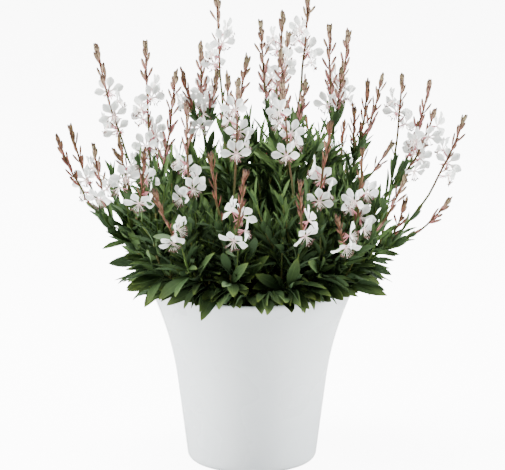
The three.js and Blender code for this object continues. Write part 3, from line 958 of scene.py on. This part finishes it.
leafyForm = {
    "stemGirths": (2.0, 1.35),
    "shootGirths": (1.3, 0.75),
    "parts": {
        "left": {"onStem": 11, "shoots": 17, "top": 290},
        "middle": {"onStem": 16, "shoots": 28, "top": 320},
        "upperRight": {"onStem": 7, "shoots": 7, "top": 284},
        "right": {"onStem": 10, "shoots": 9, "top": 262},
        "outer": {"onStem": 16, "shoots": 19, "top": 292},
    },
    "sideLeaves": 7,
    "shoots": {
        "leaves": (11, 15), "start": (0.1, 0.86), "turn": 150, "out": (8, 40), "rise": (34, 84),
        "shortest": 16, "belowTop": (0, 24),
    },
    "fillers": {
        "count": 12, "leaves": 9, "start": (0.4, 1), "turn": 180, "out": (3, 16), "rise": (22, 56),
        "forksBelow": 220,
    },
    "lowShoots": {
        "count": 5, "leaves": 8, "start": (0.35, 0.97), "turn": 100, "out": (4, 20), "rise": (24, 52),
    },
    "rimShoots": {"turns": (-7.5, -2.5, 2.5, 7.5), "reach": (76, 88), "height": (172, 180)},
    "skirt": {
        "count": 3, "lengths": (28, 46), "widths": (0.28, 0.36), "arches": (0.24, 0.46), "pitches": (64, 98),
    },
    "spoons": {
        "count": 20, "lengths": (15, 25), "widths": (0.36, 0.45), "arches": (0, 0.2), "pitches": (25, 70),
    },
    "wallRoom": 0.9,
    "liftBy": 8,
    "lifts": 10,
    "heightRange": (180, 310),
    "topSlimming": 0.72,
    "broadFrom": 9.5,
    "asideRange": (60, 130),
    "asideLight": 0.3,
}

# leaves that fill in between those of the layout, on each kind of stem
fillingLeaves = {
    "stem": {"from": 0.14, "to": 0.94, "lengths": (42, 26), "pitches": (54, 18), "slimness": (0.19, 0.25)},
    "side": {"from": 0.35, "to": 1, "lengths": (38, 27), "pitches": (48, 12), "slimness": (0.19, 0.25)},
    "shoot": {"from": 0.2, "to": 1, "lengths": (34, 20), "pitches": (42, 8), "slimness": (0.19, 0.25)},
    "fillers": {"from": 0.1, "to": 1, "lengths": (32, 18), "pitches": (46, 10), "slimness": (0.2, 0.27)},
    "lowShoots": {"from": 0.15, "to": 1, "lengths": (32, 18), "pitches": (52, 10), "slimness": (0.22, 0.3)},
}


def crossesWall(leaf):
    # dense points along the midline and both edges, against the wall with a little room round it
    room = leafyForm["wallRoom"]
    midline = onSpine(leaf, np.linspace(0, 1, 30)[:, None])
    edge = leaf["across"] * leaf["width"] * 0.45
    points = np.concatenate((midline - edge, midline, midline + edge))
    radius = np.hypot(points[:, 0], points[:, 1])
    outside = potRadius(np.minimum(points[:, 2], potForm["height"])) + room
    inside = outside - potForm["wall"] - 2 * room
    low = points[:, 2] < potForm["height"] + room
    return bool(np.any(low & (radius > inside) & (radius < outside)))


def liftLeaf(leaf, axis, side, pitch):
    # a leaf that would cut the pot's wall is raised step by step, and left out if it still would
    for _ in range(leafyForm["lifts"]):
        if not crossesWall(leaf):
            return leaf
        pitch -= leafyForm["liftBy"]
        size = {name: leaf[name] for name in ("length", "width", "random", "turnBy") if name in leaf}
        size["arch"] = leaf["arch"] * 0.85
        leaf = leafChoice(leaf["root"], axis, side, pitch, size)
    return None


def addLeaf(bm, leaf, draw):
    # from this axis to this side, the leaf's own direction lies at 45 degrees
    axis = unit(np.cross(leaf["across"], leaf["direction"]) + leaf["direction"])
    side = unit(leaf["direction"] - axis * axis.dot(leaf["direction"]))
    leaf = liftLeaf(leaf, axis, side, 45)
    if leaf is None:
        return
    low, high = leafyForm["heightRange"]
    middle = onSpine(leaf, 0.5)
    # the height share paints higher leaves lighter: painted light, and painted shade low down
    height = min(1, max(0, (middle[2] - low) / (high - low)))
    leaf["width"] *= mix(1, leafyForm["topSlimming"], height)
    # leaves at the plant's sides are painted as light as higher ones: painted light
    height += np.interp(abs(middle[0]), leafyForm["asideRange"], (0, leafyForm["asideLight"]))
    leaf["twist"] = leaf.get("turnBy", 0.8) * draw(-1, 1)
    random = leaf.get("random", 0.85 * draw(0, 1))
    shape = broadLeaf if leaf["width"] > leafyForm["broadFrom"] or random == 1 else slimLeaf
    addBlade(bm, shape, leaf, random, min(1, height), 0)


def freeLeaves(curve, kind, count, draw):
    habit = fillingLeaves[kind]
    places = spiral(curve, habit["from"], habit["to"], evenShares(count), draw(0, 360), 15, draw)
    leaves = []
    for share, t, axis, side in places:
        pitch = mix(*habit["pitches"], share) + draw(-14, 14)
        size = leafSize(mix(*habit["lengths"], share) * draw(0.7, 1.18), habit["slimness"], (0.02, 0.2), draw)
        leaves.append(leafChoice(curve.at(t), axis, side, pitch, size))
    return leaves


def rimShoot(spray, azimuth, draw):
    form = leafyForm["rimShoots"]
    start = spray["main"].at(0.12)
    end = outward(up, azimuth) * draw(*form["reach"])
    end[2] = draw(*form["height"])
    knee = mix(start, end, 0.55)
    knee[2] = end[2] + 4
    return Bow(start, knee, end)


def skirtLeaves(low, draw):
    # the lowest leaves lie outwards over the rim, droop and turn their faces aside
    form = leafyForm["skirt"]
    leaves = []
    for _ in range(form["count"]):
        side = outward(up, azimuthOf(low.end) + draw(-26, 26))
        size = leafSize(draw(*form["lengths"]), form["widths"], form["arches"], draw)
        size["turnBy"] = 1.5
        root = low.at(draw(0.5, 0.97))
        leaves.append(leafChoice(root, up, side, draw(*form["pitches"]), size))
    return leaves


def partOf(fork):
    # how leafy a spray is goes by its fork's height and side
    if fork[2] < 290:
        return leafyForm["parts"]["right" if fork[0] > 92 else "outer"]
    if fork[0] < 0:
        return leafyForm["parts"]["left"]
    return leafyForm["parts"]["middle" if fork[0] < 60 else "upperRight"]


def growSideShoots(carrier, kind, shoots, leaves, draw):
    form = leafyForm[kind]
    for _ in range(form["count"]):
        heading = outward(up, azimuthOf(carrier.end) + draw(-form["turn"], form["turn"]))
        start = carrier.at(draw(*form["start"]))
        shoots.append(shootFrom(start, heading, draw(*form["out"]), draw(*form["rise"])))
        leaves.extend(freeLeaves(shoots[-1], kind, form["leaves"], draw))


def makeLeafyStem(index, spray):
    form = leafyForm
    draw = makeDraw(seeds["leafyStems"] + index)
    main = spray["main"]
    part = partOf(main.end)
    azimuth = azimuthOf(main.end)
    lows = spray["shoots"][1:]
    shoots = list(spray["shoots"])
    leaves = spray["leaves"] + freeLeaves(main, "stem", part["onStem"], draw)
    for curve in spray["shoots"]:
        leaves += freeLeaves(curve, "side", form["sideLeaves"], draw)
    for low in lows:
        leaves += skirtLeaves(low, draw)
    for aside in form["rimShoots"]["turns"]:
        shoots.append(rimShoot(spray, spray["even"] + aside + draw(-2, 2), draw))
        leaves += skirtLeaves(shoots[-1], draw)
    many = form["shoots"]
    for _ in range(part["shoots"]):
        start = main.at(draw(*many["start"]))
        heading = outward(up, azimuth + draw(-many["turn"], many["turn"]))
        rise = min(draw(*many["rise"]), part["top"] - start[2] - draw(*many["belowTop"]))
        rise = max(many["shortest"], rise)
        shoots.append(shootFrom(start, heading, min(0.7 * rise, draw(*many["out"])), rise))
        leaves += freeLeaves(shoots[-1], "shoot", round(draw(*many["leaves"])), draw)
    if main.end[2] < form["fillers"]["forksBelow"]:
        growSideShoots(main, "fillers", shoots, leaves, draw)
    for low in lows:
        growSideShoots(low, "lowShoots", shoots, leaves, draw)
    bm = bmesh.new()
    addRod(bm, rodShape, main, form["stemGirths"], 1, 0.5, index)
    for curve in shoots:
        addRod(bm, shootShape, curve, form["shootGirths"], 1, 0.3, draw(0, 6))
    for leaf in leaves:
        addLeaf(bm, leaf, draw)
    # some short, pale, broad leaves on the outermost shoots
    shoots.sort(key=lambda curve: -math.hypot(curve.end[0], curve.end[1]))
    spoons = form["spoons"]
    for i in range(spoons["count"]):
        curve = shoots[i % len(shoots)]
        t = draw(0.5, 1)
        size = {"length": draw(*spoons["lengths"]), "arch": draw(*spoons["arches"]), "random": 1}
        size["width"] = size["length"] * draw(*spoons["widths"])
        side = outward(up, azimuth + draw(-60, 60))
        leaf = leafChoice(curve.at(t), curve.heading(t), side, draw(*spoons["pitches"]), size)
        addLeaf(bm, leaf, draw)
    tag = f"{index + 1:02d}"
    finishPiece(bm, f"leafySpray_{tag}", [leafGreen, stemGreen], f"leafy_stem_{tag}")
    return len(leaves)


leafCount = sum(makeLeafyStem(index, spray) for index, spray in enumerate(plant))
print("leafy stems built:", leafCount, "leaves")


# Racemes with their buds

racemeForm = {
    "girths": (1.2, 0.95),
    "axisShortBy": 10,
    "knotLength": 5,
    "knotGirths": (1.6, 1.6),
    "budSpacing": 3.6,
    "budPitches": (12, 26, 16, 40),
    "budLengths": (14, 11.5),
    "budHook": 0.06,
    "besideBlooms": {"above": (2, 7), "pitches": (18, 40), "lengths": (9, 13), "girth": 0.9},
    "budZones": (36, 100),
    "zoneHeights": (290, 400),
    "budGirth": (1.05, 1.25),
    "earBuds": 8,
    "earLength": 18,
    "earGirth": 1.3,
    "earPitches": (20, 6),
    "earBudLengths": (11, 9),
    "clearOf": (90, 140, 330, 390),
    "moods": (0.84, 1.1),
    "brownShadedShares": (0.9, 0),
    "stature": (0.58, 1.24),
    "tuftBuds": 7,
    "tuftLength": 11,
    "tuftSpread": (0.2, 1.5),
    "bracts": 5,
    "bractLengths": (26, 10),
}


def clearnessOf(end):
    # how far a raceme stands clear of the foliage, aside or above it
    aside, farAside, low, high = racemeForm["clearOf"]
    clear = max(0.7 * min(1, (abs(end[0]) - aside) / (farAside - aside)), (end[2] - low) / (high - low))
    return min(1, max(0, clear))


def addBud(bm, root, axis, side, degrees, length, girth, random, height, look, hook=0.1):
    bud = leafChoice(root, axis, side, degrees, {})
    x, y, z = budShape["points"].T[:, :, None]
    bend = bud["face"] * hook * length * y * y
    points = root + bud["direction"] * length * y + bend + bud["across"] * girth * x + bud["face"] * girth * z
    addCopy(bm, budShape, points, random, height, look)


def addSpike(bm, spike, draw):
    form = racemeForm
    curve, length = spike["curve"], spike["length"]
    clear = clearnessOf(curve.end)
    stature = mix(*form["stature"], clear)
    mood = draw(*form["moods"]) * mix(0.8, 1, clear)
    # racemes in among the foliage mostly take the darker bud colours: painted shade
    budLook = 3 if draw(0, 1) < mix(*form["brownShadedShares"], clear) else 1
    lowest, low, high, highest = form["budPitches"]
    pitches = mix(lowest, high, clear), mix(low, highest, clear)
    rod = curve.upTo(1 - form["axisShortBy"] / length)
    addRod(bm, rodShape, rod, form["girths"], 0, 0.7, draw(0, 6))
    for bud in spike["buds"]:
        girth = draw(*form["budGirth"])
        # the upper buds stand closer to the axis
        pitch = bud["pitch"] * (1.15 - 0.8 * bud["t"])
        addBud(bm, bud["root"], bud["axis"], bud["side"], pitch, bud["length"], girth, draw(0, 1),
               bud["t"] * mood, budLook)
    beside = form["besideBlooms"]
    for flower in spike["flowers"]:
        t = flower["t"] + draw(*beside["above"]) / length
        axis = curve.heading(t)
        side = outward(axis, draw(0, 360))
        addBud(bm, curve.at(t), axis, side, draw(*beside["pitches"]), draw(*beside["lengths"]),
               beside["girth"], draw(0, 0.5), t, budLook)
    zone = np.interp(curve.end[2], form["zoneHeights"], form["budZones"])
    first = max(spike["firstBud"], 1 - zone / length)
    earStart = max(first, 1 - form["earLength"] * min(1, stature) / length)
    turn = draw(0, 360)
    count = math.floor((earStart - first) * length / form["budSpacing"])
    shares = ((i + draw(0, 0.6)) / count for i in range(count))
    for share, t, axis, side in spiral(curve, first, earStart, shares, turn):
        addBud(bm, curve.at(t) + side * 0.6, axis, side, draw(*pitches),
               mix(*form["budLengths"], share) * draw(0.8, 1.15), stature * draw(*form["budGirth"]),
               draw(0, 1), t * mood, budLook, form["budHook"])
    tuftStart = 1 - form["tuftLength"] / length
    for share, t, axis, side in spiral(curve, earStart, tuftStart, evenShares(form["earBuds"]), turn):
        addBud(bm, curve.at(t), axis, side, mix(*form["earPitches"], share) + draw(-6, 6),
               mix(*form["earBudLengths"], share) * draw(0.8, 1.06),
               stature * form["earGirth"] * draw(0.8, 1.05), draw(0, 1), t * mood, budLook)
    # the youngest buds end side by side in a blunt tuft
    axis = curve.heading(tuftStart)
    for i in range(form["tuftBuds"]):
        side = outward(axis, turn + 360 * i / form["tuftBuds"] + draw(-14, 14))
        root = curve.at(tuftStart) + side * stature * draw(*form["tuftSpread"])
        size = form["tuftLength"] * draw(0.5, 0.97)
        girth = stature * form["earGirth"] * draw(0.7, 0.9)
        addBud(bm, root, axis, side, draw(0, 8), size, girth, draw(0.4, 1), mood, budLook, 0)
    shares = (i / form["bracts"] for i in range(form["bracts"]))
    for share, t, axis, side in spiral(curve, 0.03, min(0.4, spike["firstBud"]), shares, turn + 60):
        size = {"length": mix(*form["bractLengths"], share) * draw(0.85, 1.15), "arch": draw(-0.04, 0.1)}
        size["width"] = size["length"] * draw(0.25, 0.32)
        leaf = leafChoice(curve.at(t), axis, side, draw(10, 24), size)
        addBlade(bm, slimLeaf, leaf, draw(0.3, 1), 0.9, 2)


def makeRacemes(index, spray):
    draw = makeDraw(seeds["racemes"] + index)
    bm = bmesh.new()
    half = spray["main"].heading(1) * racemeForm["knotLength"] / 2
    knot = Bow(spray["knot"] - half, spray["knot"], spray["knot"] + half)
    addRod(bm, antherShape, knot, racemeForm["knotGirths"], 0)
    for spike in spray["spikes"]:
        addSpike(bm, spike, draw)
    tag = f"{index + 1:02d}"
    materials = [racemeRusset, budSalmon, leafGreen, budBrownShaded]
    finishPiece(bm, f"budSpray_{tag}", materials, f"racemes_{tag}")


for index, spray in enumerate(plant):
    makeRacemes(index, spray)
print("racemes built")


# Blooms: a few variants are modelled, then copied and turned into place

bloomForm = {
    "petalLength": 13.6,
    "petalWidth": 7.6,
    "petalAngles": (-84, -29, 29, 84),
    "petalLift": 0.22,
    "sepalLength": 9,
    "sepalWidth": 1.2,
    "sepalAngles": (-140, -165, 160, 135),
    "filament": 8.5,
    "filamentGirths": (0.22, 0.22),
    "anther": 3,
    "antherGirths": (0.55, 0.55),
    "styleLength": 11,
    "styleGirths": (0.28, 0.24),
    "tubeGirths": (0.75, 0.75),
    "stamens": 8,
    "stamenAngles": (118, 242),
    "variants": 4,
}


def towards(angle, forward):
    # in a bloom's own axes: x aside, y up the raceme, z out of the bloom's face
    turn = math.radians(angle)
    return unit(np.array((math.sin(turn), math.cos(turn), forward)))


def bladeTowards(direction, length, width, arch, root):
    face = unit(np.array((0, 0, 1.0)) - direction * direction[2])
    return {"root": root, "direction": direction, "face": face, "across": np.cross(direction, face),
            "length": length, "width": width, "arch": arch}


def makeBloomShape(number):
    form = bloomForm
    draw = makeDraw(seeds["bloomShapes"] + number)
    bm = bmesh.new()
    for angle in form["petalAngles"]:
        length = form["petalLength"] * draw(0.94, 1.04)
        direction = towards(angle + draw(-7, 7), draw(0.02, 0.3))
        width = form["petalWidth"] * draw(0.92, 1.08)
        petal = bladeTowards(direction, length, width, draw(-0.12, form["petalLift"]), direction * 0.8)
        petal["twist"] = draw(-0.3, 0.3)
        addBlade(bm, petalBlade, petal, 0, 0, 0)
    for angle in form["sepalAngles"]:
        direction = towards(angle + draw(-12, 12), draw(-0.9, -0.4))
        length = form["sepalLength"] * draw(0.85, 1.1)
        sepal = bladeTowards(direction, length, form["sepalWidth"], draw(0, 0.2), np.array((0, 0, -0.6)))
        addBlade(bm, sepalBlade, sepal, 0, 0, 1)
    # the tube runs back along the stalk that carries the bloom
    foot = np.array((0, -plantHabit["stalkUp"], -plantHabit["stalkOut"])) * plantHabit["bloomStalk"] * 0.9
    addRod(bm, tubeShape, Bow(foot, foot * 0.5, np.array((0, 0, 0.3))), form["tubeGirths"], 1)
    heart = np.array((0, 0, 0.2))
    for share in evenShares(form["stamens"]):
        direction = towards(mix(*form["stamenAngles"], share) + draw(-8, 8), draw(0.35, 1.3))
        end = direction * form["filament"] * draw(0.88, 1.1)
        filament = Bow(heart, end * 0.5 + np.array((0, 0, draw(0.6, 1.6))), end)
        addRod(bm, threadShape, filament, form["filamentGirths"], 2)
        aside = unit(np.array((draw(-1, 1), draw(-1, -0.2), draw(-0.6, 0.6)))) * form["anther"] / 2
        addRod(bm, antherShape, Bow(end - aside, end, end + aside), form["antherGirths"], 3)
    end = unit(np.array((draw(-0.15, 0.15), -1, 0.65))) * form["styleLength"]
    style = Bow(heart, end * 0.5 + np.array((0, -0.6, 0)), end)
    addRod(bm, threadShape, style, form["styleGirths"], 2)
    return keepShape(bm, f"bloom{number}")


bloomShapes = [makeBloomShape(number) for number in range(bloomForm["variants"])]


def addBloom(bm, flower, draw):
    shape = bloomShapes[math.floor(draw(0, bloomForm["variants"]))]
    side = np.cross(flower["axis"], flower["facing"])
    roll = math.radians(draw(-9, 9))
    across = side * math.cos(roll) + flower["axis"] * math.sin(roll)
    upward = np.cross(flower["facing"], across)
    axes = np.array((across, upward, flower["facing"]))
    points = flower["middle"] + shape["points"] @ axes * draw(0.95, 1.03)
    addCopy(bm, shape, points, draw(0, 1), 0.5)


bloomMaterials = [petalWhite, sepalPink, filamentCream, antherBrown]


def makeBlooms(name, node, flowers, draw):
    bm = bmesh.new()
    for flower in flowers:
        addBloom(bm, flower, draw)
    finishPiece(bm, name, bloomMaterials, node)


blooming = [spike for spray in plant for spike in spray["spikes"] if spike["blooms"]]
for number, spike in enumerate(blooming):
    tag = f"{number + 1:02d}"
    makeBlooms(f"bloomSpray_{tag}", f"blooms_{tag}", spike["flowers"], makeDraw(seeds["blooms"] + number))
print("blooms built:", sum(spike["blooms"] for spike in blooming))

# single blooms on racemes that are in bud in the layout: the spray, its raceme, how far along and how many
extraBlooms = {
    "left": (0, 2, 0.5, 2),
    "leftFront": (11, 1, 0.42, 3),
    "leftInner": (2, 1, 0.26, 4),
    "leftBack": (2, 0, 0.34, 3),
    "middle": (4, 1, 0.2, 2),
    "rightInner": (6, 0, 0.3, 2),
    "frontLow": (13, 0, 0.4, 2),
    "right": (8, 1, 0.4, 2),
}


for name, (index, which, bloomsAt, count) in extraBlooms.items():
    draw = makeDraw(seeds["extraBlooms"] + index * 3 + which)
    spike = dict(plant[index]["spikes"][which], blooms=count, bloomsAt=bloomsAt)
    flowers = flowersOn(spike, draw(-150, -30), [draw(-12, 12) for _ in range(count)])
    makeBlooms(f"extraBlooms_{name}", None, flowers, draw)
print("extra blooms built:", sum(choice[3] for choice in extraBlooms.values()))


# Floor, light and camera

studio = {
    "floorSize": 14,
    "worldStrength": 0.14,
    "floorColors": ((0.60, 0.60, 0.60), (0.63, 0.63, 0.63)),
    "floorGlow": 9.0,
    "lights": [
        ("leftBox", (-2.2, -0.3, 1.0), 1.5, 225),
        ("rightBox", (2.2, -0.2, 1.0), 1.5, 200),
        ("topBox", (-0.4, 0.05, 2.4), 1.0, 165),
        ("frontFill", (-0.3, -2.8, 1.3), 1.2, 7),
    ],
    "target": (0.0005, 0.0, 0.2165),
}


def makePaleFloor():
    look = Finish("paleFloor")
    base = look.blend(look.mask(1.5, 0.35, 0.65), *studio["floorColors"])
    # the floor shows white, as a lit one does, without lighting the plant from below
    sight = look.add("ShaderNodeLightPath").outputs["Is Camera Ray"]
    look.feed(look.shader, {
        "Base Color": base, "Roughness": 0.9, "Emission Color": look.blend(sight, (0, 0, 0), (1, 1, 1)),
        "Emission Strength": studio["floorGlow"],
    })
    return look.material


def makeFloor():
    bm = bmesh.new()
    bmesh.ops.create_grid(bm, x_segments=4, y_segments=4, size=studio["floorSize"])
    floor = addObject("studioFloor", meshOf(bm, "studioFloor"))
    floor.data.materials.append(makePaleFloor())


def makeLights():
    target = Vector(studio["target"])
    for name, place, size, power in studio["lights"]:
        light = bpy.data.lights.new(name, "AREA")
        light.shape = "SQUARE"
        light.size = size
        light.energy = power
        lamp = addObject(name, light)
        lamp.location = place
        lamp.rotation_euler = (target - lamp.location).to_track_quat("-Z", "Y").to_euler()
    world = bpy.data.worlds.new("studioWorld")
    world.use_nodes = True
    background = world.node_tree.nodes["Background"]
    background.inputs["Color"].default_value = (1, 1, 1, 1)
    background.inputs["Strength"].default_value = studio["worldStrength"]
    bpy.context.scene.world = world


cameraForm = {"elevation": 12.5, "distance": 2.6, "lens": 197.2, "sensor": 36}


def makeCamera():
    camera = bpy.data.cameras.new("photoCamera")
    camera.lens = cameraForm["lens"]
    camera.sensor_width = cameraForm["sensor"]
    camera.clip_end = 50
    holder = addObject("photoCamera", camera)
    angle = math.radians(cameraForm["elevation"])
    offset = Vector((0, -math.cos(angle), math.sin(angle))) * cameraForm["distance"]
    holder.location = Vector(studio["target"]) + offset
    holder.rotation_euler = (-offset).to_track_quat("-Z", "Y").to_euler()
    bpy.context.scene.camera = holder


makeFloor()
makeLights()
makeCamera()
print("studio set")
